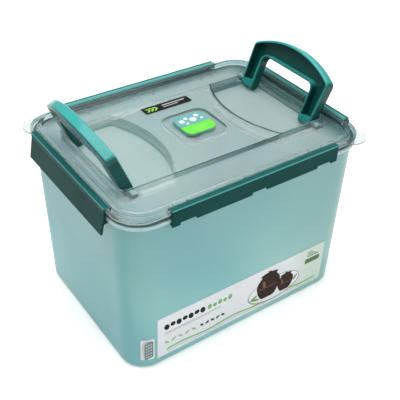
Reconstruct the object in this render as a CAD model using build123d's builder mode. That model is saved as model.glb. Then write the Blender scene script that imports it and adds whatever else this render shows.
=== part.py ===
from build123d import *
import math
import os

# Kimchi container: a deep tub, a clear lid with four latches, two fold-away
# handles and a vent valve. Origin: centre of the tub's foot, on the ground.
# +X long side, +Y to the back, +Z up. The label is on the front, -Y.

# tub
foot_half_x = 154.7
foot_half_y = 114.1
foot_corner_r = 30.0
rim_z = 215.6
side_lean = 4.1
wall = 2.4
floor_thick = 3.0
foot_edge_r = 6.0
floor_edge_r = 4.0
foot_ring_width = 12.0
foot_ring_lift = 1.2
flange_out = 3.2
flange_corner_r = 36.0
flange_low_z = 211.5
flange_top_z = 214.5

# seal between the tub's lip and the lid
seal_thick = 1.8
seal_inset = 0.1
seal_over = 1.3

# lid
skin = 2.2
mouth_gap = 1.0
plug_low_z = 212.0
lid_plate_thick = 1.7
lid_lip_top_z = 220.5
lid_edge_top_z = 224.0
lid_edge_corner_r = 34.0
lid_plate_in = 2.4
channel_z = 222.0
ridge_z = 227.0
ridge_width = 6.0
plateau_z = 228.0
end_channel = 17.7
side_channel = 43.6
plateau_corner_r = 6.0
plateau_edge_r = 1.0
ridge_edge_r = 1.6
lid_edge_r = 1.2
cut_spare = 1.0
pan_top_below = 1.2
gusset_thick = 1.4
gusset_deep = 9.0
latch_rib_pair = 18.0
latch_place_low_in = 19.6
latch_place_high_in = 18.6
tab_out_x = 2.5
tab_out_y = 3.6
tab_corner_r = 15.0
tab_long = 34.0

# sunken places that the handles fold into
recess_floor_z = 214.0
recess_end_wall = 2.2
recess_gap = 2.0
recess_corner_r = 5.0

# handles, drawn about their pivot: across, and up from the pivot
pivot_in = 10.5
pivot_z = 221.0
lean_deg = 23.0
grip_half_thick = 6.5
grip_foot_gap = 3.5
grip_shoulder_gap = 0.5
grip_apex = 69.5
grip_arch_r = 135.0
grip_corner_r = 8.0
grip_leg_wide = 21.0
grip_bar_high = 28.0
grip_wall = 3.0
grip_skin = 2.4
grip_solid_up = 4.6
grip_outer_r = 2.6
stub_r = 3.5
stub_in = 7.0
socket_gap = 0.07
socket_spare = 0.5
boss_r = 6.0
boss_in = 9.6

# latches, drawn across (out from the lid) and up
hinge_in = 4.5
latch_stand = 3.3
hinge_z = 223.7
barrel_r = 4.3
barrel_wall = 1.6
latch_plate = 2.2
latch_edge_r = 2.8
long_latch_end_in = 51.4
long_latch_low_z = 207.0
short_latch_end_in = 37.2
short_latch_low_z = 196.0
short_latch_flare = 4.7
flare_from_z = 221.0
latch_end_gap = 0.6
knuckle_long = 9.0
pin_r = 1.8
pin_gap = 0.07
pin_long = 7.0
lug_r = 2.6
lug_thick = 3.0
hook_gap = 0.3
hook_thick = 2.7
hook_wall_gap = 0.5
notch_long = 20.0
notch_high = 3.0
short_rib_places = (-56.0, 0.0, 56.0)
latch_rib = 1.6
latch_groove = 0.8

# vent valve
well_half = 30.0
well_corner_r = 13.0
well_floor_z = 225.0
cap_half = 20.3
cap_corner_r = 9.0
cap_top_z = 230.3
cap_low_z = 227.2
cap_wall = 1.4
cap_top_thick = 2.0
cap_edge_r = 0.8
inlay_thick = 1.2
inlay_split_y = -3.0
collar_r = 18.2
collar_in_r = 15.5
collar_high = 1.3
hub_r = 9.5
hub_in_r = 7.5
hub_low_z = 210.0
stem_r = 3.2
stem_gap = 0.07
stem_head_r = 6.4
stem_head_thick = 1.6
stem_low_z = 205.4
spring_r = 5.2
spring_wire_r = 0.5
spring_turns = 5
vent_hole_r = 0.9
vent_hole_ring = 6.4
vent_hole_count = 8
disc_r = 8.6
disc_thick = 2.0
disc_gap = 0.05
grip_fit = 0.02
washer_r = 5.2
washer_thick = 1.3

# labels
label_thick = 0.25
label_gap = 0.05
label_side_in = 30.3
label_low = 12.5
label_high = 75.5
mini_side_in = 11.5
mini_wide = 14.8
mini_low = 15.5
mini_high = 48.5
sticker_left = -36.0
sticker_right = 29.0
sticker_front = 46.5
sticker_back = 61.0
sticker_corner_r = 2.5

# sizes that follow from the ones above
side_draft = side_lean / rim_z
draft_deg = math.degrees(math.atan(side_draft))
rim_half_x = foot_half_x + side_lean
rim_half_y = foot_half_y + side_lean
rim_corner_r = foot_corner_r + side_lean
flange_half_x = rim_half_x + flange_out
flange_half_y = rim_half_y + flange_out
mouth_half_x = rim_half_x - wall
mouth_half_y = rim_half_y - wall
seal_low_z = rim_z
seal_top_z = rim_z + seal_thick
lid_plate_top_z = seal_top_z + lid_plate_thick
plug_half_x = mouth_half_x - mouth_gap
plug_half_y = mouth_half_y - mouth_gap
plug_corner_r = rim_corner_r - wall - mouth_gap
plateau_half_x = plug_half_x - end_channel
plateau_half_y = plug_half_y - side_channel
tab_half_x = flange_half_x + tab_out_x
tab_half_y = flange_half_y + tab_out_y
recess_half_y = plateau_half_y - recess_end_wall
recess_out_x = plateau_half_x - recess_end_wall
pivot_x = recess_out_x - pivot_in
grip_foot_half = recess_half_y - grip_foot_gap
grip_shoulder_half = recess_half_y - grip_shoulder_gap
hand_half = grip_foot_half - grip_leg_wide
hand_top = grip_apex - grip_bar_high
stub_end = recess_half_y + stub_in
boss_end = recess_half_y + boss_in
latch_half_x = flange_half_x + latch_stand
latch_half_y = flange_half_y + latch_stand
long_latch_half = flange_half_x - long_latch_end_in
short_latch_half = flange_half_y - short_latch_end_in
latch_places = (latch_place_low_in - long_latch_half, 0.0, long_latch_half - latch_place_high_in)
label_right = foot_half_x - label_side_in
label_left = -label_right
mini_left = mini_side_in - foot_half_x
mini_right = mini_left + mini_wide
hinge_x = latch_half_x - hinge_in
hinge_y = latch_half_y - hinge_in
lean = math.radians(lean_deg)
arch_centre = grip_apex - grip_arch_r
grip_shoulder = arch_centre + math.sqrt(grip_arch_r**2 - grip_shoulder_half**2)
recess_arch_r = grip_arch_r + recess_gap
recess_arch_x = pivot_x - arch_centre
well_low_z = well_floor_z - skin
hub_floor_z = hub_low_z + 2.0

os.makedirs("parts", exist_ok=True)


def tub_section(height, grow):
    """Outline of the tub's outer side at a height, grown by a distance."""
    more = height * side_draft + grow
    with BuildSketch() as outline:
        RectangleRounded(2 * (foot_half_x + more), 2 * (foot_half_y + more), foot_corner_r + more)
    return outline.sketch


def rounded_block(sketch_half_x, sketch_half_y, corner):
    """A rounded rectangle about the middle of the lid."""
    with BuildSketch() as outline:
        RectangleRounded(2 * sketch_half_x, 2 * sketch_half_y, corner)
    return outline.sketch


def recess_shape(side, grow):
    """Plan of the place one handle folds into, an arch towards the valve."""
    with BuildSketch() as outline:
        with Locations((side * recess_arch_x, 0)):
            Circle(recess_arch_r + grow)
        with Locations((side * (recess_out_x + grow - recess_arch_r / 2), 0)):
            Rectangle(recess_arch_r, 2 * (recess_half_y + grow), mode=Mode.INTERSECT)
        fillet(outline.vertices(), recess_corner_r + grow)
    return outline.sketch


def grip_shape():
    """Outline of a handle: two legs and an arched bar with a hand opening."""
    with BuildSketch() as outline:
        with BuildLine():
            Line((grip_foot_half, -grip_half_thick), (grip_shoulder_half, grip_shoulder))
            ThreePointArc(
                (grip_shoulder_half, grip_shoulder),
                (0, grip_apex),
                (-grip_shoulder_half, grip_shoulder),
            )
            Polyline(
                (-grip_shoulder_half, grip_shoulder),
                (-grip_foot_half, -grip_half_thick),
                (grip_foot_half, -grip_half_thick),
            )
        make_face()
        fillet(outline.vertices().group_by(Axis.Y)[-1], grip_corner_r)
        with Locations((0, hand_top - grip_apex)):
            RectangleRounded(2 * hand_half, 2 * grip_apex, grip_corner_r, mode=Mode.SUBTRACT)
    return outline.sketch


# planes the latches are drawn in: across = out from the lid, up = +Z
back_side = Plane(origin=(0, 0, 0), x_dir=(0, 1, 0), z_dir=(1, 0, 0))
front_side = Plane(origin=(0, 0, 0), x_dir=(0, -1, 0), z_dir=(-1, 0, 0))
right_side = Plane(origin=(0, 0, 0), x_dir=(1, 0, 0), z_dir=(0, -1, 0))
left_side = Plane(origin=(0, 0, 0), x_dir=(-1, 0, 0), z_dir=(0, 1, 0))
hinges = (
    (back_side, hinge_y, long_latch_half, plug_half_y),
    (front_side, hinge_y, long_latch_half, plug_half_y),
    (right_side, hinge_x, short_latch_half, plug_half_x),
    (left_side, hinge_x, short_latch_half, plug_half_x),
)


# tub
with BuildPart() as tub:
    with BuildSketch(Plane.XY):
        add(tub_section(0, 0))
    extrude(amount=rim_z, taper=-draft_deg)
    fillet(tub.faces().sort_by(Axis.Z)[0].edges(), foot_edge_r)
    with BuildSketch(Plane.XY.offset(flange_low_z)):
        RectangleRounded(2 * flange_half_x, 2 * flange_half_y, flange_corner_r)
    extrude(amount=flange_top_z - flange_low_z)
# hollow of the tub, cut out with a rounded floor edge
with BuildPart() as tub_hollow:
    with BuildSketch(Plane.XY.offset(floor_thick)):
        add(tub_section(floor_thick, -wall))
    extrude(amount=rim_z - floor_thick + 1, taper=-draft_deg)
    fillet(tub_hollow.faces().sort_by(Axis.Z)[0].edges(), floor_edge_r)
with tub:
    add(tub_hollow.part, mode=Mode.SUBTRACT)
    with BuildSketch(Plane.XY):
        add(tub_section(0, -foot_edge_r - foot_ring_width))
    extrude(amount=foot_ring_lift, mode=Mode.SUBTRACT)
tub.part.label = "tub"
export_step(tub.part, "parts/tub.step")


# seal ring, seated on the tub's lip
with BuildPart() as lid_seal:
    with BuildSketch(Plane.XY.offset(seal_low_z)):
        RectangleRounded(2 * (rim_half_x + seal_over), 2 * (rim_half_y + seal_over), rim_corner_r + seal_over)
        add(rounded_block(mouth_half_x + seal_inset, mouth_half_y + seal_inset,
                          rim_corner_r - wall + seal_inset), mode=Mode.SUBTRACT)
    extrude(amount=seal_thick)
lid_seal.part.label = "lid_seal"
export_step(lid_seal.part, "parts/lid_seal.step")


# lid
with BuildPart() as lid:
    # wall that plugs the tub's mouth, with the channel floor on it
    with BuildSketch(Plane.XY.offset(plug_low_z)):
        add(rounded_block(plug_half_x, plug_half_y, plug_corner_r))
    extrude(amount=channel_z - plug_low_z)
    # plate on the seal and the edge above it, both run all the way round
    with BuildSketch(Plane.XY.offset(seal_top_z)):
        add(rounded_block(flange_half_x - lid_plate_in, flange_half_y - lid_plate_in,
                          lid_edge_corner_r - lid_plate_in))
    extrude(amount=lid_lip_top_z - seal_top_z)
    with BuildSketch(Plane.XY.offset(lid_lip_top_z)):
        add(rounded_block(flange_half_x, flange_half_y, lid_edge_corner_r))
    extrude(amount=lid_edge_top_z - lid_lip_top_z)
    fillet(lid.faces().sort_by(Axis.Z)[-1].edges(), lid_edge_r)
    # the channel inside the edge is lower than the edge
    with BuildSketch(Plane.XY.offset(channel_z)):
        add(rounded_block(plug_half_x - 1, plug_half_y - 1, plug_corner_r - 1))
    extrude(amount=lid_edge_top_z - channel_z, mode=Mode.SUBTRACT)
    # room for the latches: only the plate on the seal stays
    for side_plane, hinge_at, latch_half, plug_half in hinges:
        with BuildSketch(side_plane.offset(-latch_half - latch_end_gap)):
            with Locations((hinge_at + barrel_r, (lid_plate_top_z + lid_edge_top_z) / 2 + cut_spare)):
                Rectangle(2 * (hinge_at + barrel_r - plug_half),
                          lid_edge_top_z - lid_plate_top_z + 2 * cut_spare)
        extrude(amount=2 * (latch_half + latch_end_gap), mode=Mode.SUBTRACT)
    # raised ridge round the lid
    with BuildSketch(Plane.XY.offset(channel_z - 1)):
        add(rounded_block(plug_half_x, plug_half_y, plug_corner_r))
        add(rounded_block(plug_half_x - ridge_width, plug_half_y - ridge_width,
                          plug_corner_r - ridge_width), mode=Mode.SUBTRACT)
    extrude(amount=ridge_z - channel_z + 1)
    fillet(lid.faces().sort_by(Axis.Z)[-1].edges(), ridge_edge_r)
    # underside hollow inside the plug wall
    with BuildSketch(Plane.XY.offset(plug_low_z)):
        add(rounded_block(plug_half_x - skin, plug_half_y - skin, plug_corner_r - skin))
    extrude(amount=channel_z - skin - plug_low_z, mode=Mode.SUBTRACT)
    # plateau, hollow from below
    with BuildSketch(Plane.XY.offset(channel_z - skin)):
        add(rounded_block(plateau_half_x, plateau_half_y, plateau_corner_r))
    extrude(amount=plateau_z - channel_z + skin)
    fillet(lid.faces().sort_by(Axis.Z)[-1].edges(), plateau_edge_r)
    with BuildSketch(Plane.XY.offset(channel_z - skin)):
        add(rounded_block(plateau_half_x - skin, plateau_half_y - skin, plateau_corner_r - skin))
    extrude(amount=plateau_z - channel_z, mode=Mode.SUBTRACT)
    # a pan under each handle
    for side in (1, -1):
        with BuildSketch(Plane.XY.offset(recess_floor_z - skin)):
            add(recess_shape(side, skin))
        extrude(amount=plateau_z - recess_floor_z + skin - pan_top_below)
        with BuildSketch(Plane.XY.offset(recess_floor_z)):
            add(recess_shape(side, 0))
        extrude(amount=plateau_z - recess_floor_z + 1, mode=Mode.SUBTRACT)
    # gussets between the plug wall and the channel floor, in pairs
    for sign in (1, -1):
        for middle in latch_places:
            with BuildSketch(Plane.XY.offset(plug_low_z + 2)):
                with Locations((middle - latch_rib_pair / 2, sign * (plug_half_y - skin - gusset_deep / 2 + 0.5)),
                               (middle + latch_rib_pair / 2, sign * (plug_half_y - skin - gusset_deep / 2 + 0.5))):
                    Rectangle(gusset_thick, gusset_deep + 1)
            extrude(amount=channel_z - skin - plug_low_z - 1.5)
    # well for the vent valve, with a hub below it
    with BuildSketch(Plane.XY.offset(well_low_z)):
        add(rounded_block(well_half + skin, well_half + skin, well_corner_r + skin))
    extrude(amount=plateau_z - well_low_z - pan_top_below)
    with BuildSketch(Plane.XY.offset(well_floor_z)):
        add(rounded_block(well_half, well_half, well_corner_r))
    extrude(amount=plateau_z - well_floor_z + 1, mode=Mode.SUBTRACT)
    with BuildSketch(Plane.XY.offset(hub_low_z)):
        Circle(hub_r)
    extrude(amount=well_floor_z - hub_low_z - 0.5)
    with BuildSketch(Plane.XY.offset(hub_floor_z)):
        Circle(hub_in_r)
    extrude(amount=well_floor_z - hub_floor_z, mode=Mode.SUBTRACT)
    with BuildSketch(Plane.XY.offset(hub_low_z)):
        Circle(stem_r + stem_gap)
        with PolarLocations(vent_hole_ring, vent_hole_count):
            Circle(vent_hole_r)
    extrude(amount=hub_floor_z - hub_low_z, mode=Mode.SUBTRACT)
    # bosses and sockets for the handle pivots
    for side in (1, -1):
        for end in (1, -1):
            with BuildSketch(Plane(origin=(side * pivot_x, end * (recess_half_y + 1), pivot_z),
                                   x_dir=(1, 0, 0), z_dir=(0, end, 0))):
                Circle(boss_r)
            extrude(amount=boss_end - recess_half_y - 1)
            with BuildSketch(Plane(origin=(side * pivot_x, end * (recess_half_y - 1), pivot_z),
                                   x_dir=(1, 0, 0), z_dir=(0, end, 0))):
                Circle(stub_r + socket_gap)
            extrude(amount=stub_end + socket_spare - recess_half_y + 1, mode=Mode.SUBTRACT)
    # lugs and pins that the latches turn on
    for side_plane, hinge_at, latch_half, plug_half in hinges:
        for end in (1, -1):
            with BuildSketch(side_plane.offset(end * (latch_half + latch_end_gap))):
                with Locations((hinge_at, hinge_z)):
                    Circle(lug_r)
            extrude(amount=end * lug_thick)
            with BuildSketch(side_plane.offset(end * (latch_half + latch_end_gap))):
                with Locations((hinge_at, hinge_z)):
                    Circle(pin_r)
            extrude(amount=-end * (latch_end_gap + pin_long - 0.5))
    # lift tabs at two opposite corners
    for side in (1, -1):
        with BuildSketch(Plane.XY.offset(seal_top_z)):
            with Locations((side * (tab_half_x - tab_long / 2), -side * (tab_half_y - tab_long / 2))):
                RectangleRounded(tab_long, tab_long, tab_corner_r)
            add(rounded_block(plug_half_x - 1, plug_half_y - 1, plug_corner_r), mode=Mode.SUBTRACT)
        extrude(amount=lid_plate_thick)
lid.part.label = "lid"
export_step(lid.part, "parts/lid.step")


def make_handle(side):
    """One folding handle, standing up and leaning outward onto its stop."""
    out = (side * math.cos(lean), 0, -math.sin(lean))
    pivot = Vector(side * pivot_x, 0, pivot_z)
    inner = Plane(origin=pivot - Vector(*out) * grip_half_thick, x_dir=(0, side, 0), z_dir=out)
    with BuildPart() as grip:
        with BuildSketch(inner):
            add(grip_shape())
        extrude(amount=2 * grip_half_thick)
        fillet(grip.edges().filter_by(Axis.Y).sort_by(Axis.Z)[:4], grip_half_thick - 0.05)
        outer_face = grip.faces().filter_by(GeomType.PLANE).sort_by(Axis(pivot, out))[-1]
        fillet(outer_face.edges(), grip_outer_r)
        # the side that faces the valve is hollow inside a rounded rim
        with BuildSketch(inner):
            add(grip_shape())
            offset(amount=-grip_wall, mode=Mode.REPLACE)
            Rectangle(4 * grip_foot_half, 2 * grip_solid_up, mode=Mode.SUBTRACT)
        extrude(amount=2 * grip_half_thick - grip_skin, mode=Mode.SUBTRACT)
        for end in (1, -1):
            with BuildSketch(Plane(origin=(side * pivot_x, end * (hand_half + 4), pivot_z),
                                   x_dir=(1, 0, 0), z_dir=(0, end, 0))):
                Circle(stub_r)
            extrude(amount=stub_end - hand_half - 4)
    return grip.part


left_handle = make_handle(-1)
left_handle.label = "left_handle"
export_step(left_handle, "parts/left_handle.step")
right_handle = make_handle(1)
right_handle.label = "right_handle"
export_step(right_handle, "parts/right_handle.step")


def make_latch(side_plane, hinge_at, latch_half, low_z, flare, wall_at, places, notched):
    """One side latch: a barrel on the lid's pins, a plate and a hook."""
    out_at = hinge_at + hinge_in
    in_at = out_at - latch_plate
    slope = flare / (flare_from_z - low_z)
    hook_top = flange_low_z - hook_gap
    hook_low = hook_top - hook_thick
    out_low = out_at + flare
    with BuildPart() as latch:
        with BuildSketch(side_plane.offset(-latch_half)):
            with BuildLine():
                turn = CenterArc((hinge_at, hinge_z), barrel_r, 90, 125)
                inner_turn = CenterArc((hinge_at, hinge_z), barrel_r - barrel_wall, 90, 125)
                Line(turn @ 1, inner_turn @ 1)
                Polyline(
                    inner_turn @ 0,
                    (in_at, hinge_z + barrel_r - barrel_wall),
                    (in_at, flare_from_z),
                    (in_at + slope * (flare_from_z - hook_top), hook_top),
                    (wall_at + hook_wall_gap, hook_top),
                    (wall_at + hook_wall_gap, hook_low + 1),
                    (in_at + slope * (flare_from_z - hook_low), hook_low - 0.8),
                    (out_low - latch_plate, low_z),
                    (out_low, low_z),
                    (out_at, flare_from_z),
                    (out_at, hinge_z + barrel_r - latch_edge_r),
                )
                edge = CenterArc((out_at - latch_edge_r, hinge_z + barrel_r - latch_edge_r), latch_edge_r, 0, 90)
                Line(edge @ 1, turn @ 0)
            make_face()
            with Locations((hinge_at + latch_groove, hinge_z + barrel_r)):
                Rectangle(latch_groove, latch_groove, mode=Mode.SUBTRACT)
        extrude(amount=2 * latch_half)
        # solid knuckles at the ends, bored for the pins
        for end in (1, -1):
            with BuildSketch(side_plane.offset(end * latch_half)):
                with Locations((hinge_at, hinge_z)):
                    Circle(barrel_r)
            extrude(amount=-end * knuckle_long)
            with BuildSketch(side_plane.offset(end * latch_half)):
                with Locations((hinge_at, hinge_z)):
                    Circle(pin_r + pin_gap)
            extrude(amount=-end * pin_long, mode=Mode.SUBTRACT)
        # thin ribs under the top band
        for middle in places:
            for step in (-latch_rib_pair / 2, latch_rib_pair / 2):
                with BuildSketch(side_plane.offset(middle + step - latch_rib / 2)):
                    with Locations((hinge_at, hinge_z)):
                        Circle(barrel_r - 0.3)
                extrude(amount=latch_rib)
            if notched:
                with BuildSketch(side_plane.offset(middle - notch_long / 2)):
                    with Locations((out_at - 3, low_z)):
                        Rectangle(16, 2 * notch_high)
                extrude(amount=notch_long, mode=Mode.SUBTRACT)
    return latch.part


wall_y = foot_half_y + side_draft * flange_low_z
wall_x = foot_half_x + side_draft * flange_low_z
back_places = latch_places
front_places = tuple(-place for place in latch_places)
back_latch = make_latch(back_side, hinge_y, long_latch_half, long_latch_low_z, 0.0, wall_y, back_places, True)
back_latch.label = "back_latch"
export_step(back_latch, "parts/back_latch.step")
front_latch = make_latch(front_side, hinge_y, long_latch_half, long_latch_low_z, 0.0, wall_y, front_places, True)
front_latch.label = "front_latch"
export_step(front_latch, "parts/front_latch.step")
right_latch = make_latch(right_side, hinge_x, short_latch_half, short_latch_low_z, short_latch_flare, wall_x,
                         short_rib_places, False)
right_latch.label = "right_latch"
export_step(right_latch, "parts/right_latch.step")
left_latch = make_latch(left_side, hinge_x, short_latch_half, short_latch_low_z, short_latch_flare, wall_x,
                        short_rib_places, False)
left_latch.label = "left_latch"
export_step(left_latch, "parts/left_latch.step")


# vent valve: collar in the well
with BuildPart() as valve_collar:
    with BuildSketch(Plane.XY.offset(well_floor_z)):
        Circle(collar_r)
        Circle(collar_in_r, mode=Mode.SUBTRACT)
    extrude(amount=collar_high)
    chamfer(valve_collar.faces().sort_by(Axis.Z)[-1].edges(), 0.5)
valve_collar.part.label = "valve_collar"
export_step(valve_collar.part, "parts/valve_collar.step")

# button cap, open below
with BuildPart() as valve_cap:
    with BuildSketch(Plane.XY.offset(cap_low_z)):
        add(rounded_block(cap_half, cap_half, cap_corner_r))
    extrude(amount=cap_top_z - cap_low_z)
    fillet(valve_cap.faces().sort_by(Axis.Z)[-1].edges(), cap_edge_r)
    with BuildSketch(Plane.XY.offset(cap_low_z)):
        add(rounded_block(cap_half - cap_wall, cap_half - cap_wall, cap_corner_r - cap_wall))
    extrude(amount=cap_top_z - cap_low_z - cap_top_thick, mode=Mode.SUBTRACT)
    with BuildSketch(Plane.XY.offset(cap_top_z - inlay_thick)):
        with Locations((0, inlay_split_y - cap_half)):
            Rectangle(4 * cap_half, 2 * cap_half)
    extrude(amount=inlay_thick + 1, mode=Mode.SUBTRACT)
valve_cap.part.label = "valve_cap"
export_step(valve_cap.part, "parts/valve_cap.step")

# front part of the button's top, in a second colour
with BuildPart() as valve_inlay:
    with BuildSketch(Plane.XY.offset(cap_top_z - inlay_thick)):
        add(rounded_block(cap_half, cap_half, cap_corner_r))
        with Locations((0, inlay_split_y + cap_half)):
            Rectangle(4 * cap_half, 2 * cap_half, mode=Mode.SUBTRACT)
    extrude(amount=inlay_thick)
    fillet(valve_inlay.faces().sort_by(Axis.Z)[-1].edges().sort_by(Axis.Y)[:-1], cap_edge_r)
valve_inlay.part.label = "valve_inlay"
export_step(valve_inlay.part, "parts/valve_inlay.step")

# stem through the hub, with a head under the cap
with BuildPart() as valve_stem:
    with BuildSketch(Plane.XY.offset(stem_low_z)):
        Circle(stem_r)
    extrude(amount=cap_top_z - cap_top_thick - stem_low_z)
    with BuildSketch(Plane.XY.offset(cap_top_z - cap_top_thick - stem_head_thick)):
        Circle(stem_head_r)
    extrude(amount=stem_head_thick)
valve_stem.part.label = "valve_stem"
export_step(valve_stem.part, "parts/valve_stem.step")

# return spring between the hub's floor and the stem's head
spring_high = cap_top_z - cap_top_thick - stem_head_thick - hub_floor_z - 2 * spring_wire_r
with BuildPart() as valve_spring:
    with BuildLine(Plane.XY.offset(hub_floor_z + spring_wire_r)) as coil:
        Helix(pitch=spring_high / spring_turns, height=spring_high, radius=spring_r)
    with BuildSketch(Plane(origin=coil.line @ 0, z_dir=coil.line % 0)):
        RegularPolygon(spring_wire_r - 0.01, 6)
    sweep()
valve_spring.part.label = "valve_spring"
export_step(valve_spring.part, "parts/valve_spring.step")

# soft disc that closes the vent holes, and the washer that holds it
with BuildPart() as vent_disc:
    with BuildSketch(Plane.XY.offset(hub_low_z - disc_gap)):
        Circle(disc_r)
        Circle(stem_r + grip_fit, mode=Mode.SUBTRACT)
    extrude(amount=-disc_thick)
vent_disc.part.label = "vent_disc"
export_step(vent_disc.part, "parts/vent_disc.step")

with BuildPart() as stem_washer:
    with BuildSketch(Plane.XY.offset(hub_low_z - disc_gap - disc_thick)):
        Circle(washer_r)
        Circle(stem_r + grip_fit, mode=Mode.SUBTRACT)
    extrude(amount=-washer_thick)
stem_washer.part.label = "stem_washer"
export_step(stem_washer.part, "parts/stem_washer.step")


def make_wrap(low, high):
    """A thin film that follows the tub's side, between two corners of its front view."""
    with BuildPart() as wrap:
        with BuildSketch(Plane.XY):
            add(tub_section(0, label_gap + label_thick))
        extrude(amount=rim_z, taper=-draft_deg)
        with BuildSketch(Plane.XY):
            add(tub_section(0, label_gap))
        extrude(amount=rim_z, taper=-draft_deg, mode=Mode.SUBTRACT)
        with BuildSketch(Plane.XZ):
            with Locations(((low[0] + high[0]) / 2, (low[1] + high[1]) / 2)):
                RectangleRounded(high[0] - low[0], high[1] - low[1], 1.5)
        extrude(amount=2 * foot_half_y, mode=Mode.INTERSECT)
    return wrap.part


front_label = make_wrap((label_left, label_low), (label_right, label_high))
front_label.label = "front_label"
export_step(front_label, "parts/front_label.step")
small_label = make_wrap((mini_left, mini_low), (mini_right, mini_high))
small_label.label = "small_label"
export_step(small_label, "parts/small_label.step")

with BuildPart() as lid_sticker:
    with BuildSketch(Plane.XY.offset(plateau_z)):
        with Locations(((sticker_left + sticker_right) / 2, (sticker_front + sticker_back) / 2)):
            RectangleRounded(sticker_right - sticker_left, sticker_back - sticker_front, sticker_corner_r)
    extrude(amount=label_thick)
lid_sticker.part.label = "lid_sticker"
export_step(lid_sticker.part, "parts/lid_sticker.step")
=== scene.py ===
import math

import bpy
from mathutils import Matrix, Vector


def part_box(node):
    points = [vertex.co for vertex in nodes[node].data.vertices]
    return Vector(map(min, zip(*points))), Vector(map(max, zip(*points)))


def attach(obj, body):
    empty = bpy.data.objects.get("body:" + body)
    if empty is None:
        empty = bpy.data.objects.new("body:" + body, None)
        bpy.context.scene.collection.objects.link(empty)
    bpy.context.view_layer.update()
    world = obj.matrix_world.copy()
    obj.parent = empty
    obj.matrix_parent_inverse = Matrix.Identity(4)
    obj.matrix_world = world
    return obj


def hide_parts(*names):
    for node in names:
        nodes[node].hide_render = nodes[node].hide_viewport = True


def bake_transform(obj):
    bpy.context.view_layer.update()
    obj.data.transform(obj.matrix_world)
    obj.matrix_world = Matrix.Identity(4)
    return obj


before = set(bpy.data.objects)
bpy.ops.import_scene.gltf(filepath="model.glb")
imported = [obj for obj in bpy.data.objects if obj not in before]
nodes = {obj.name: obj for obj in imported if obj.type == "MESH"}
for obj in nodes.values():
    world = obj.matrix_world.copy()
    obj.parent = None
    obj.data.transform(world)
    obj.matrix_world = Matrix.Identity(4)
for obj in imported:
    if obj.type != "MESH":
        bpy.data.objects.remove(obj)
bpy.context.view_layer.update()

MM = 0.001

# the tub's front wall: where it stands at the foot, and how far it leans out
WALL_AT_FOOT = 114.1 * MM
WALL_LEAN = 4.1 / 215.6
# thickness of the label's film and of the ink on it
FILM = 0.30 * MM
INK = 0.03 * MM

# Places in millimetres. The handles: how far a raised one leans out, and where it turns
HANDLE_LEAN = math.radians(23.0)
HANDLE_PIVOT = (125.0, 221.0)
# the painted highlight on the rim round a handle's hollow side: how far inward of the pivot it is full, and
# where it ends
HANDLE_RIM_HIGHLIGHT = (6.2, 4.8)
# the arched edge of each sunken place in the lid: its centre from the middle, and its radius
RECESS_ARCH_X = 190.5
RECESS_ARCH_R = 137.0
# heights of the painted shade lines along the lid's edges: middle and half width
LID_SHADE_LINES = ((227.5, 0.4), (222.3, 0.2), (214.3, 0.3), (225.2, 0.15))
# the two latches with painted light on their top: the axis and the place of the painted shade in the groove
# along it
LATCH_GROOVES = {"back_latch": ("Y", 120.6), "right_latch": ("X", 161.2)}
LATCH_GROOVE_HALF = 0.9
# the painted highlight along the tub's flange: middle and half width
FLANGE_HIGHLIGHT = (213.0, 1.7)

# tones of the lid by place: painted shade lines, a painted reflection of the latches, the lift tabs, painted
# light and shade on upright walls and painted light on sunken floors
EDGE_PAINTED_SHADE = (0.03, 0.08, 0.08)
MIRRORED_GREEN = (0.18, 0.38, 0.38)
TAB_TONE = (0.70, 0.74, 0.74)
LEFT_WALLS_PAINTED_LIGHT = (0.97, 0.99, 0.99)
RIGHT_WALLS_PAINTED_SHADE = (0.50, 0.62, 0.62)
RECESS_FLOOR_PAINTED_LIGHT = (0.93, 0.98, 0.98)

# camera, worked out from the photograph
CAMERA_AT = (-0.4130, -0.5885, 0.6598)
CAMERA_AZIMUTH = math.radians(-35.81)
CAMERA_ELEVATION = math.radians(37.0)
CAMERA_ROLL = math.radians(1.78)
CAMERA_LENS = 64.88
CAMERA_SENSOR = 36.0

FLOOR_REACH = 4.0
FLOOR_BELOW = 0.0003
WORLD_LIGHT = 0.32


def material(name):
    """A new node material with its shader and a texture coordinate."""
    made = bpy.data.materials.new(name)
    made.use_nodes = True
    tree = made.node_tree
    shader = tree.nodes["Principled BSDF"]
    place = tree.nodes.new("ShaderNodeTexCoord").outputs["Object"]
    return made, tree, shader, place


def noise(tree, place, scale, detail=3.0):
    """Noise over the object's own coordinates."""
    node = tree.nodes.new("ShaderNodeTexNoise")
    node.inputs["Scale"].default_value = scale
    node.inputs["Detail"].default_value = detail
    node.inputs["Roughness"].default_value = 0.55
    tree.links.new(place, node.inputs["Vector"])
    return node.outputs["Fac"]


def ramp(tree, value, stops):
    """A colour ramp; stops are (position, colour)."""
    node = tree.nodes.new("ShaderNodeValToRGB")
    elements = node.color_ramp.elements
    while len(elements) < len(stops):
        elements.new(0.5)
    for element, (at, colour) in zip(elements, stops):
        element.position = at
        element.color = (*colour, 1.0)
    tree.links.new(value, node.inputs["Fac"])
    return node.outputs["Color"]


def to_range(tree, value, low, high, out_low, out_high):
    """Maps a value from one range to another, held at the ends."""
    node = tree.nodes.new("ShaderNodeMapRange")
    ends = {"From Min": low, "From Max": high, "To Min": out_low, "To Max": out_high}
    for socket, number in ends.items():
        node.inputs[socket].default_value = number
    tree.links.new(value, node.inputs["Value"])
    return node.outputs["Result"]


def fade(tree, coordinate, low, high, out_low, out_high):
    """Maps a coordinate that lies between two places in mm."""
    return to_range(tree, coordinate, low * MM, high * MM, out_low, out_high)


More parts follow.
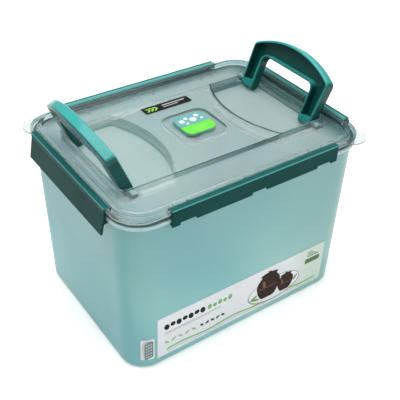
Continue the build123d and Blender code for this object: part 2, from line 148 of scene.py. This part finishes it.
def mixed(tree, factor, first, second):
    """Mixes two colours, each a socket or a plain colour."""
    node = tree.nodes.new("ShaderNodeMix")
    node.data_type = "RGBA"
    tree.links.new(factor, node.inputs["Factor"])
    for index, colour in ((6, first), (7, second)):
        if isinstance(colour, tuple):
            node.inputs[index].default_value = (*colour, 1.0)
        else:
            tree.links.new(colour, node.inputs[index])
    return node.outputs[2]


def split_place(tree, place, axis):
    """One part of a vector, such as the height of a place in metres."""
    node = tree.nodes.new("ShaderNodeSeparateXYZ")
    tree.links.new(place, node.inputs["Vector"])
    return node.outputs[axis]


def near_value(tree, value, middle, half):
    """1 where a coordinate lies within half of middle, both in mm."""
    near = tree.nodes.new("ShaderNodeMath")
    near.operation = "COMPARE"
    near.inputs[1].default_value = middle * MM
    near.inputs[2].default_value = half * MM
    tree.links.new(value, near.inputs[0])
    return near.outputs[0]


def join(tree, kind, first, *others):
    """Joins values one after the other with maths nodes of the kind."""
    for other in others:
        node = tree.nodes.new("ShaderNodeMath")
        node.operation = kind
        tree.links.new(first, node.inputs[0])
        tree.links.new(other, node.inputs[1])
        first = node.outputs[0]
    return first


def vector_step(tree, kind, vector, constant=None):
    """A vector maths node on a vector, and on a constant vector where the kind takes one."""
    node = tree.nodes.new("ShaderNodeVectorMath")
    node.operation = kind
    tree.links.new(vector, node.inputs[0])
    if constant is not None:
        node.inputs[1].default_value = constant
    return node.outputs["Value" if kind in ("DISTANCE", "DOT_PRODUCT", "LENGTH") else "Vector"]


def normal_up(tree):
    """How far the surface faces up: 1 flat on top, 0 on an upright wall."""
    facing = tree.nodes.new("ShaderNodeNewGeometry")
    return split_place(tree, facing.outputs["Normal"], "Z")


def uneven_tone(tree, place, scale, dark, light, detail=3.0):
    """A tone that drifts between two colours over the surface."""
    return ramp(tree, noise(tree, place, scale, detail), ((0.3, dark), (0.7, light)))


def uneven_gloss(tree, shader, place, scale, low, high):
    """A roughness that varies a little over the surface."""
    gloss = to_range(tree, noise(tree, place, scale), 0.3, 0.7, low, high)
    tree.links.new(gloss, shader.inputs["Roughness"])


def grain(tree, shader, place, distance=0.02 * MM, scale=900.0, strength=0.15):
    """The fine grain of moulded plastic."""
    node = tree.nodes.new("ShaderNodeBump")
    node.inputs["Strength"].default_value = strength
    node.inputs["Distance"].default_value = distance
    tree.links.new(noise(tree, place, scale, 2.0), node.inputs["Height"])
    tree.links.new(node.outputs["Normal"], shader.inputs["Normal"])


def plastic(name, dark, light, roughness, scale=14.0, coat=0.0, grain_distance=0.02 * MM):
    """Coloured plastic: its tone and its gloss vary a little over the surface."""
    made, tree, shader, place = material(name)
    tree.links.new(uneven_tone(tree, place, scale, dark, light), shader.inputs["Base Color"])
    uneven_gloss(tree, shader, place, scale * 3, roughness * 0.85, roughness * 1.15)
    grain(tree, shader, place, grain_distance)
    shader.inputs["Coat Weight"].default_value = coat
    shader.inputs["Coat Roughness"].default_value = 0.08
    return made


def clear_plastic(name, dark, light, roughness, transmission, ior=1.49, tint=None):
    """See-through plastic with faint flow marks; tint changes its tone by place."""
    made, tree, shader, place = material(name)
    tone = uneven_tone(tree, place, 8.0, dark, light)
    if tint:
        tone = tint(tree, place, tone)
    tree.links.new(tone, shader.inputs["Base Color"])
    uneven_gloss(tree, shader, place, 16.0, roughness * 0.7, roughness * 1.3)
    shader.inputs["Transmission Weight"].default_value = transmission
    shader.inputs["IOR"].default_value = ior
    return made


def lid_edge_shade_lines(tree, place):
    """1 where painted shade lines run along the lid's sharp edges; faint on the left, away from the front and
    back.
    """
    across, along, height = (split_place(tree, place, axis) for axis in "XYZ")
    lines = join(tree, "MAXIMUM", *(near_value(tree, height, middle, half) for middle, half in LID_SHADE_LINES))
    # painted shade lines along the arched edges of the two sunken places, sharp on the right and faint on the
    # left
    for side, strength in ((1, 1.0), (-1, 0.25)):
        flat = vector_step(tree, "MULTIPLY", place, (1, 1, 0))
        from_centre = vector_step(tree, "DISTANCE", flat, (side * RECESS_ARCH_X * MM, 0, 0))
        top_arch = near_value(tree, from_centre, RECESS_ARCH_R + 0.9, 0.95)
        foot_arch = near_value(tree, from_centre, RECESS_ARCH_R, 0.5)
        top_line = join(tree, "MULTIPLY", top_arch, fade(tree, height, 226.6, 227.0, 0.0, strength))
        foot_line = join(tree, "MULTIPLY", foot_arch, fade(tree, height, 214.7, 215.1, strength * 0.5, 0.0))
        lines = join(tree, "MAXIMUM", lines, top_line, foot_line)
    fade_side = fade(tree, across, -70, -45, 0.15, 1.0)
    along_squared = join(tree, "MULTIPLY", along, along)
    fade_ends = to_range(tree, along_squared, (66 * MM) ** 2, (70.5 * MM) ** 2, 0.0, 1.0)
    return join(tree, "MULTIPLY", lines, join(tree, "MAXIMUM", fade_side, fade_ends))


def lid_tint(tree, place, tone):
    """The lid's tone by place: a painted reflection at the edge, lift tabs, painted light and shade on upright
    walls, painted light on sunken floors and painted shade lines along edges.
    """
    across, along, height = (split_place(tree, place, axis) for axis in "XYZ")
    # at the back and on the right the edge mirrors the green latches
    at_back = fade(tree, along, 92, 108, 0.0, 0.75)
    at_right = fade(tree, across, 116, 142, 0.0, 0.80)
    tone = mixed(tree, join(tree, "MAXIMUM", at_back, at_right), tone, MIRRORED_GREEN)
    tone = mixed(tree, fade(tree, height, 219.1, 219.7, 1.0, 0.0), tone, TAB_TONE)
    # painted light and shade on upright walls within the edge: pale on the left, darker on the right
    facing_up = normal_up(tree)
    upright = to_range(tree, join(tree, "MULTIPLY", facing_up, facing_up), 0.02, 0.12, 1.0, 0.0)
    wall_painted_tone = mixed(tree, fade(tree, across, -40, 40, 0.0, 1.0), LEFT_WALLS_PAINTED_LIGHT, RIGHT_WALLS_PAINTED_SHADE)
    across_squared = join(tree, "MULTIPLY", across, across)
    inside = to_range(tree, across_squared, (112 * MM) ** 2, (120 * MM) ** 2, 1.0, 0.0)
    tone = mixed(tree, join(tree, "MULTIPLY", upright, inside), tone, wall_painted_tone)
    # painted light: the sunken floors are lightened
    tone = mixed(tree, fade(tree, height, 214.3, 215.0, 1.0, 0.0), tone, RECESS_FLOOR_PAINTED_LIGHT)
    # painted shade lines along the lid's sharp edges
    return mixed(tree, lid_edge_shade_lines(tree, place), tone, EDGE_PAINTED_SHADE)


def dress(node_name, made):
    """Gives a CAD node its material."""
    data = nodes[node_name].data
    data.materials.clear()
    data.materials.append(made)


# tub: frosted teal, a little bluer low down and greener near the rim
tub_material, tree, shader, place = material("tub_frosted")
across = split_place(tree, place, "X")
height = split_place(tree, place, "Z")
low_tone = ramp(tree, noise(tree, place, 6.0, 1.0),
                ((0.32, (0.20, 0.56, 0.60)), (0.50, (0.31, 0.68, 0.67)), (0.68, (0.46, 0.80, 0.77))))
high_tone = ramp(tree, noise(tree, place, 5.0, 1.0),
                 ((0.32, (0.24, 0.54, 0.57)), (0.50, (0.32, 0.62, 0.59)), (0.68, (0.38, 0.61, 0.54))))
tone = mixed(tree, fade(tree, height, 60, 190, 0.0, 1.0), low_tone, high_tone)
# painted shade: darker towards the right end and on the left side
tone = mixed(tree, fade(tree, across, 20, 155, 0.0, 0.55), tone, (0.24, 0.46, 0.43))
tone = mixed(tree, fade(tree, across, -154, -148, 0.55, 0.0), tone, (0.16, 0.52, 0.54))
# painted highlight along the top edge of the tub's flange
tone = mixed(tree, near_value(tree, height, *FLANGE_HIGHLIGHT), tone, (0.62, 0.80, 0.79))
tree.links.new(tone, shader.inputs["Base Color"])
uneven_gloss(tree, shader, place, 30.0, 0.28, 0.36)
grain(tree, shader, place, scale=700.0, strength=0.2)
shader.inputs["Transmission Weight"].default_value = 0.35
shader.inputs["IOR"].default_value = 1.45
dress("tub", tub_material)

dress("lid", clear_plastic("lid_clear", (0.78, 0.86, 0.87), (0.86, 0.92, 0.92), 0.05, 0.84, 1.13, lid_tint))
dress("valve_collar", clear_plastic("collar_clear", (0.62, 0.74, 0.74), (0.75, 0.85, 0.85), 0.08, 0.8))
dress("lid_seal", plastic("seal_soft", (0.010, 0.060, 0.055), (0.020, 0.090, 0.085), 0.5))

# latches: dark green; painted light makes the top paler at the back and on the right, with painted shade in a
# groove along it, and a painted highlight makes the outer edge of the others pale
for latch in ("front_latch", "back_latch", "left_latch", "right_latch"):
    made, tree, shader, place = material(latch + "_green")
    height = split_place(tree, place, "Z")
    tone = uneven_tone(tree, place, 9.0, (0.003, 0.042, 0.038), (0.008, 0.064, 0.058))
    if latch in LATCH_GROOVES:
        axis, groove_at = LATCH_GROOVES[latch]
        groove = near_value(tree, split_place(tree, place, axis), groove_at, LATCH_GROOVE_HALF)
        # painted light: the top of this latch is paler
        tone = mixed(tree, fade(tree, height, 224.5, 226.2, 0.0, 1.0), tone, (0.11, 0.36, 0.34))
        # painted shade along the groove
        tone = mixed(tree, groove, tone, (0.006, 0.075, 0.075))
    else:
        # painted light on the top, and a painted highlight along the outer edge
        tone = mixed(tree, fade(tree, height, 226.8, 227.5, 0.0, 1.0), tone, (0.016, 0.105, 0.096))
        tone = mixed(tree, near_value(tree, height, 226.6, 0.55), tone, (0.09, 0.33, 0.31))
    tree.links.new(tone, shader.inputs["Base Color"])
    uneven_gloss(tree, shader, place, 30.0, 0.30, 0.40)
    grain(tree, shader, place)
    shader.inputs["IOR"].default_value = 1.12
    dress(latch, made)

# handles: satin green, with painted light making them much paler where they face up
handle_green, tree, shader, place = material("handle_green")
painted_side_tone = uneven_tone(tree, place, 12.0, (0.003, 0.058, 0.050), (0.008, 0.085, 0.075))
painted_up_tone = uneven_tone(tree, place, 7.0, (0.020, 0.300, 0.275), (0.070, 0.440, 0.410), 1.0)
# a painted highlight makes the rim round the hollow side paler than the hollow; mirrored, both handles are
# alike
lean_cos, lean_sin = math.cos(HANDLE_LEAN), math.sin(HANDLE_LEAN)
mirrored = vector_step(tree, "ABSOLUTE", place)
outward = vector_step(tree, "DOT_PRODUCT", mirrored, (lean_cos, 0, -lean_sin))
pivot_out = HANDLE_PIVOT[0] * lean_cos - HANDLE_PIVOT[1] * lean_sin
rim_highlight = fade(tree, outward, pivot_out - HANDLE_RIM_HIGHLIGHT[0], pivot_out - HANDLE_RIM_HIGHLIGHT[1], 0.75, 0.0)
painted_side_tone = mixed(tree, rim_highlight, painted_side_tone, (0.020, 0.250, 0.230))
# painted light and shade: the lit tone where the handle faces up, the shaded tone on its sides
tone = mixed(tree, to_range(tree, normal_up(tree), 0.45, 0.92, 0.0, 1.0), painted_side_tone, painted_up_tone)
tree.links.new(tone, shader.inputs["Base Color"])
uneven_gloss(tree, shader, place, 36.0, 0.22, 0.30)
grain(tree, shader, place)
shader.inputs["IOR"].default_value = 1.30
shader.inputs["Coat Weight"].default_value = 0.22
shader.inputs["Coat Roughness"].default_value = 0.12
dress("left_handle", handle_green)
dress("right_handle", handle_green)

# valve
dress("valve_cap", plastic("cap_teal", (0.10, 0.33, 0.33), (0.16, 0.42, 0.42), 0.25, coat=0.3))
dress("valve_inlay", plastic("inlay_green", (0.10, 0.62, 0.03), (0.16, 0.72, 0.06), 0.28, coat=0.3))
dress("valve_stem", plastic("stem_white", (0.60, 0.66, 0.66), (0.68, 0.74, 0.74), 0.4))
dress("vent_disc", plastic("disc_soft", (0.60, 0.64, 0.64), (0.70, 0.74, 0.74), 0.6))
for steel in ("valve_spring", "stem_washer"):
    made = plastic(steel + "_steel", (0.50, 0.50, 0.52), (0.62, 0.62, 0.64), 0.3)
    made.node_tree.nodes["Principled BSDF"].inputs["Metallic"].default_value = 1.0
    dress(steel, made)

# printed films; the front label turns green towards its right end
film_white, tree, shader, place = material("film_white")
green_end = fade(tree, split_place(tree, place, "X"), 60, 110, 0.0, 0.55)
paper = uneven_tone(tree, place, 20.0, (0.70, 0.73, 0.77), (0.78, 0.80, 0.83))
tree.links.new(mixed(tree, green_end, paper, (0.42, 0.60, 0.40)), shader.inputs["Base Color"])
shader.inputs["Roughness"].default_value = 0.38
dress("front_label", film_white)
dress("small_label", plastic("small_film", (0.78, 0.81, 0.81), (0.85, 0.87, 0.87), 0.4))
sticker_black = plastic("sticker_black", (0.005, 0.006, 0.006), (0.010, 0.012, 0.011), 0.45)
sticker_black.node_tree.nodes["Principled BSDF"].inputs["Specular IOR Level"].default_value = 0.12
dress("lid_sticker", sticker_black)


def ink(name, colour):
    """Printing ink whose tone varies slightly."""
    dark = tuple(0.88 * part for part in colour)
    made = plastic(name, dark, colour, 0.4, scale=40.0, grain_distance=0.005 * MM)
    made.node_tree.nodes["Principled BSDF"].inputs["IOR"].default_value = 1.15
    return made


def add_object(name, data):
    """A new object in the scene."""
    made = bpy.data.objects.new(name, data)
    bpy.context.scene.collection.objects.link(made)
    return made


def flat_shapes(name, outlines, to_world, out, made, body):
    """Thin printed shapes: each outline is a ring of points on a flat sheet."""
    verts, faces = [], []
    for ring in outlines:
        first = len(verts)
        count = len(ring)
        for lift in (0.2, 1.0):
            verts += [tuple(to_world(point) + out * INK * lift) for point in ring]
        faces.append([first + count + i for i in range(count)])
        faces.append([first + i for i in reversed(range(count))])
        for i in range(count):
            j = (i + 1) % count
            faces.append([first + i, first + j, first + count + j, first + count + i])
    mesh = bpy.data.meshes.new(name)
    mesh.from_pydata(verts, [], faces)
    mesh.update()
    mesh.materials.append(made)
    piece = add_object(name, mesh)
    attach(piece, body)


def oval(cx, cy, rx, ry, turn=0.0, count=40):
    """An oval turned by an angle."""
    turn_cos, turn_sin = math.cos(turn), math.sin(turn)
    ring = []
    for i in range(count):
        a = 2 * math.pi * i / count
        x, y = rx * math.cos(a), ry * math.sin(a)
        ring.append((cx + x * turn_cos - y * turn_sin, cy + x * turn_sin + y * turn_cos))
    return ring


def bar(x0, y0, x1, y1, round_by):
    """A rectangle with rounded corners."""
    ring = []
    for cx, cy, start in ((x1 - round_by, y0 + round_by, -90), (x1 - round_by, y1 - round_by, 0),
                          (x0 + round_by, y1 - round_by, 90), (x0 + round_by, y0 + round_by, 180)):
        for step in range(7):
            a = math.radians(start + 15 * step)
            ring.append((cx + round_by * math.cos(a), cy + round_by * math.sin(a)))
    return ring


def jar(cx, low, half, high):
    """Side view of a round-bellied clay jar: foot, belly, shoulder, neck and lid."""
    shape = ((0.42, 0.0), (0.62, 0.05), (0.86, 0.25), (1.0, 0.48), (0.92, 0.66), (0.66, 0.80), (0.58, 0.84),
             (0.70, 0.86), (0.70, 0.91), (0.40, 0.95), (0.14, 0.96), (0.14, 1.0))
    right_side = [(cx + half * x, low + high * z) for x, z in shape]
    return right_side + [(2 * cx - x, z) for x, z in reversed(right_side)]


# front label, drawn in millimetres along it and up it
LABEL_LEFT = -112
LABEL_RIGHT = 116
BEAD_ROW = 58
LEAF_ROW = 33
WAVE_SWING = 1.6
WAVE_LENGTH = 76
WAVE_STEPS = 60
front_out = Vector((0, -1, -WALL_LEAN)).normalized()


def wave_band(low, thick):
    """A band that waves along the label."""
    top, under = [], []
    for i in range(WAVE_STEPS + 1):
        x = LABEL_LEFT + (LABEL_RIGHT - LABEL_LEFT) * i / WAVE_STEPS
        z = low + WAVE_SWING * math.sin(2 * math.pi * (x - LABEL_LEFT) / WAVE_LENGTH)
        under.append((x, z))
        top.append((x, z + thick))
    return under + list(reversed(top))


def front_print(name, outlines, colour, level=0):
    """A print on the front label, with level prints below it."""
    def on_front(point):
        x, z = point[0] * MM, point[1] * MM
        return Vector((x, -(WALL_AT_FOOT + FILM + z * WALL_LEAN), z)) + front_out * INK * level
    flat_shapes(name, outlines, on_front, front_out, ink(name + "_ink", colour), "container")


# two clay jars on a pale oval with sprigs
px, pz = 44.0, 42.0
front_print("label_oval_rim", [oval(px + 2, pz - 6, 41.5, 20.5)], (0.42, 0.44, 0.46))
front_print("label_oval", [oval(px + 2, pz - 5.4, 39.4, 18.6)], (0.86, 0.87, 0.88), 1)
front_print("label_jars", [jar(px - 8, 25, 18.5, 44), jar(px + 20, 23, 13, 30)], (0.030, 0.017, 0.012), 2)
front_print("label_jar_shine", [oval(px - 15, 49, 2.2, 7.0, 0.25, 20), oval(px + 15, 39, 1.5, 4.6, 0.25, 18)],
            (0.20, 0.10, 0.065), 3)
front_print("label_jar_bands", [bar(px - 22.5, 42, px + 6.5, 43.8, 0.8),
                                bar(px + 9.5, 34, px + 30.5, 35.4, 0.6)], (0.15, 0.065, 0.045), 4)
front_print("label_sprigs", [oval(px - 30, pz - 9, 6, 2.0, 0.5, 18), oval(px - 27, pz - 13, 6, 1.8, -0.3, 18),
                             oval(px + 36, pz - 5, 5, 1.9, 0.9, 18)], (0.16, 0.36, 0.08), 2)

# bands of waves, and a block of dots on the small label
front_print("label_green_wave", [wave_band(19.5, 2.6)], (0.24, 0.52, 0.16))
front_print("label_grey_wave", [wave_band(16.6, 0.9)], (0.45, 0.55, 0.52))
front_print("small_block", [bar(-141.6, 19.5, -130.0, 45.5, 1.4)], (0.20, 0.25, 0.26))
front_print("small_block_dots", [oval(-138.8 + 3.0 * i, 23.0 + 4.7 * j, 0.95, 1.35, 0, 14)
                                 for i in range(3) for j in range(5)], (0.55, 0.62, 0.62), 1)

# rows of beads and leaves, thin lines, and bars at the right end
front_print("label_dots", [oval(LABEL_LEFT + 8.2 * i, BEAD_ROW + 1.2 * (i % 2), 3.5, 4.6 - 1.3 * (i % 2),
                                0.3 - 0.6 * (i % 2), 24) for i in range(7)], (0.012, 0.016, 0.016))
front_print("label_green_dots", [oval(-53 + 7.4 * i, BEAD_ROW - 0.8 * (i % 2), 2.9, 4.0 - 1.0 * (i % 2),
                                      0.5 * (i % 2), 20) for i in range(5)], (0.22, 0.46, 0.16))
front_print("label_thin_line", [bar(-114, 48.4, -36, 49.2, 0.3), bar(-114, 46.4, -52, 46.9, 0.2)],
            (0.22, 0.26, 0.26))
for name, start, step, half, colour in (("label_drop_row", LABEL_LEFT, 9.4, 3.6, (0.36, 0.52, 0.30)),
                                        ("label_drop_row_dark", -63, 7.6, 3.0, (0.03, 0.05, 0.05))):
    leaves = [oval(start + step * i, LEAF_ROW, half, 1.7, 0.6 if i % 2 else -0.6, 20) for i in range(5)]
    front_print(name, leaves, colour)
end_lines = [bar(97, 61 + 3.4 * i, 115 - 5 * i, 62.6 + 3.4 * i, 0.6) for i in range(3)]
front_print("label_end_bars", [bar(94, 50, 118, 58, 1.6)] + end_lines, (0.10, 0.20, 0.10))

# lid sticker: chevrons and two thin lines on black
sticker_low, sticker_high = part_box("lid_sticker")
up = Vector((0, 0, 1))


def on_sticker(point):
    """A place on the sticker, from its near left corner."""
    return Vector((sticker_low[0] + point[0] * MM, sticker_low[1] + point[1] * MM, sticker_high[2]))


def chevron(x, y, size, thick):
    """An arrow head that points to the right."""
    return [(x, y), (x + size, y + size), (x, y + 2 * size),
            (x - thick, y + 2 * size), (x + size - thick, y + size), (x - thick, y)]


flat_shapes("sticker_chevrons", [chevron(6 + 5 * i, 3.2, 4.0, 2.6) for i in range(3)], on_sticker, up,
            ink("chevron_ink", (0.30, 0.66, 0.10)), "container")
flat_shapes("sticker_lines", [bar(27, 9.0, 59, 10.4, 0.6), bar(27, 5.0, 48, 6.0, 0.4)], on_sticker, up,
            ink("sticker_line_ink", (0.62, 0.66, 0.64)), "container")

# button: a few round bubbles on the teal part and two lines on the green part
cap_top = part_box("valve_cap")[1][2]


def on_cap(point):
    """A place on top of the button, from its middle."""
    return Vector((point[0] * MM, point[1] * MM, cap_top))


bubbles = ((-12, 8, 3.4), (-4.5, 12, 2.4), (2.5, 6.5, 4.2), (10.5, 12.5, 2.8), (13.5, 4.5, 2.0), (-8, 1.5, 1.8))
flat_shapes("cap_bubbles", [oval(x, y, r, r, 0, 28) for x, y, r in bubbles], on_cap, up,
            ink("bubble_ink", (0.82, 0.86, 0.86)), "vent_button")
flat_shapes("cap_line", [bar(-12, -11, 12, -9.6, 0.6), bar(-8, -15, 8, -14, 0.45)], on_cap, up,
            ink("cap_line_ink", (0.30, 0.80, 0.20)), "vent_button")

# the spring stands on the floor of its hub, and in the real valve it shortens as the cap goes down; here it
# becomes an object of its own with its place baked in
spring_node = nodes["valve_spring"]
spring_data = spring_node.data.copy()
spring_data.transform(spring_node.matrix_world)
spring = add_object("vent_spring", spring_data)
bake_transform(spring)
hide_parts("valve_spring")

# studio: a white floor with a soft shadow; its glow is seen, mirrored or not, but lights nothing
floor_mesh = bpy.data.meshes.new("floor")
corners = [(x * FLOOR_REACH, y * FLOOR_REACH, 0) for x, y in ((-1, -1), (1, -1), (1, 1), (-1, 1))]
floor_mesh.from_pydata(corners, [], [(0, 1, 2, 3)])
floor = add_object("floor", floor_mesh)
floor.location.z = -FLOOR_BELOW
floor_white, tree, shader, place = material("floor_white")
tone = uneven_tone(tree, place, 3.0, (0.90, 0.90, 0.90), (0.93, 0.93, 0.93))
tree.links.new(tone, shader.inputs["Base Color"])
shader.inputs["Roughness"].default_value = 0.9
shader.inputs["Specular IOR Level"].default_value = 0.1
shader.inputs["Emission Color"].default_value = (1, 1, 1, 1)
rays = tree.nodes.new("ShaderNodeLightPath").outputs
seen = join(tree, "MAXIMUM", rays["Is Camera Ray"], rays["Is Glossy Ray"], rays["Is Transmission Ray"])
glow = to_range(tree, vector_step(tree, "LENGTH", place), 0.5, 1.6, 0.30, 1.0)
tree.links.new(join(tree, "MULTIPLY", glow, seen), shader.inputs["Emission Strength"])
floor_mesh.materials.append(floor_white)

# white surroundings: full strength to the eye and through clear plastic, weak as a light
world = bpy.data.worlds.new("studio")
bpy.context.scene.world = world
world.use_nodes = True
tree = world.node_tree
background = tree.nodes["Background"]
background.inputs["Color"].default_value = (1, 1, 1, 1)
rays = tree.nodes.new("ShaderNodeLightPath").outputs
seen = join(tree, "MAXIMUM", rays["Is Camera Ray"], rays["Is Transmission Ray"])
tree.links.new(to_range(tree, seen, 0.0, 1.0, WORLD_LIGHT, 1.0), background.inputs["Strength"])


def lamp(name, at, aim, size, power):
    """An area lamp that points at a place."""
    data = bpy.data.lights.new(name, "AREA")
    data.shape = "RECTANGLE"
    data.size, data.size_y = size
    data.energy = power
    made = add_object(name, data)
    made.location = at
    made.rotation_euler = (Vector(aim) - Vector(at)).to_track_quat("-Z", "Y").to_euler()


lamp("top", (-0.15, 0.15, 1.5), (0, 0, 0.15), (1.5, 1.3), 24)
lamp("fill", (0.5, -1.4, 0.9), (0, 0, 0.12), (1.3, 0.9), 9)
lamp("side", (-1.3, -0.3, 0.8), (0, 0, 0.15), (0.9, 0.8), 1.5)

# camera: it looks against back, and its roll turns right and top
camera_data = bpy.data.cameras.new("camera")
camera_data.lens = CAMERA_LENS
camera_data.sensor_width = CAMERA_SENSOR
camera = add_object("camera", camera_data)
back = Vector((math.sin(CAMERA_AZIMUTH) * math.cos(CAMERA_ELEVATION),
               -math.cos(CAMERA_AZIMUTH) * math.cos(CAMERA_ELEVATION), math.sin(CAMERA_ELEVATION)))
level_right = Vector((0, 0, 1)).cross(back).normalized()
level_top = back.cross(level_right)
right = level_right * math.cos(CAMERA_ROLL) + level_top * math.sin(CAMERA_ROLL)
top = level_top * math.cos(CAMERA_ROLL) - level_right * math.sin(CAMERA_ROLL)
turned = Matrix((right, top, back)).transposed().to_4x4()
camera.matrix_world = Matrix.Translation(Vector(CAMERA_AT)) @ turned
bpy.context.scene.camera = camera
bpy.context.scene.view_settings.view_transform = "Standard"
